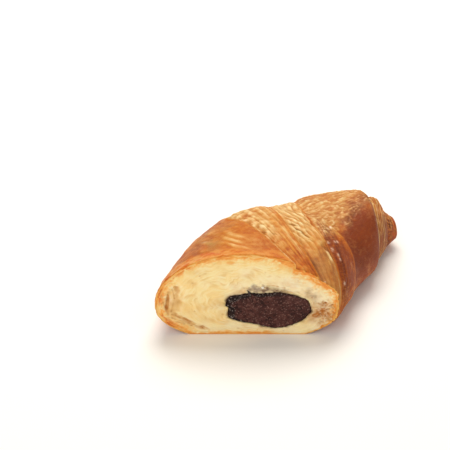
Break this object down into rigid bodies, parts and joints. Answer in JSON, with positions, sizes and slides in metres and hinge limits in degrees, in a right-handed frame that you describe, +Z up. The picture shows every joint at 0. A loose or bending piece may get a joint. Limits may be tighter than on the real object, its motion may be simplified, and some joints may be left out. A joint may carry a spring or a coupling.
{
  "type": "pain au chocolat",
  "caption": "Cut half of a chocolate-filled crescent roll: spiral flaky crust tapering to a rolled tip, pale crumb and an oval dark filling on the flat cut face.",
  "frame": {"origin": "middle of the bounding box, on the floor plane under the flat base", "axes": "+X along the cut face towards the side that the tip bends to, +Y from the cut face towards the tip, +Z up from the flat base"},
  "size_m": [0.1171, 0.0869, 0.0444],
  "materials": {
    "baked_dough": "satin",
    "chocolate": "satin"
  },
  "bodies": {
    "root": {"croissant_half": "baked_dough", "chocolate_filling": "chocolate"}
  },
  "joints": []
}
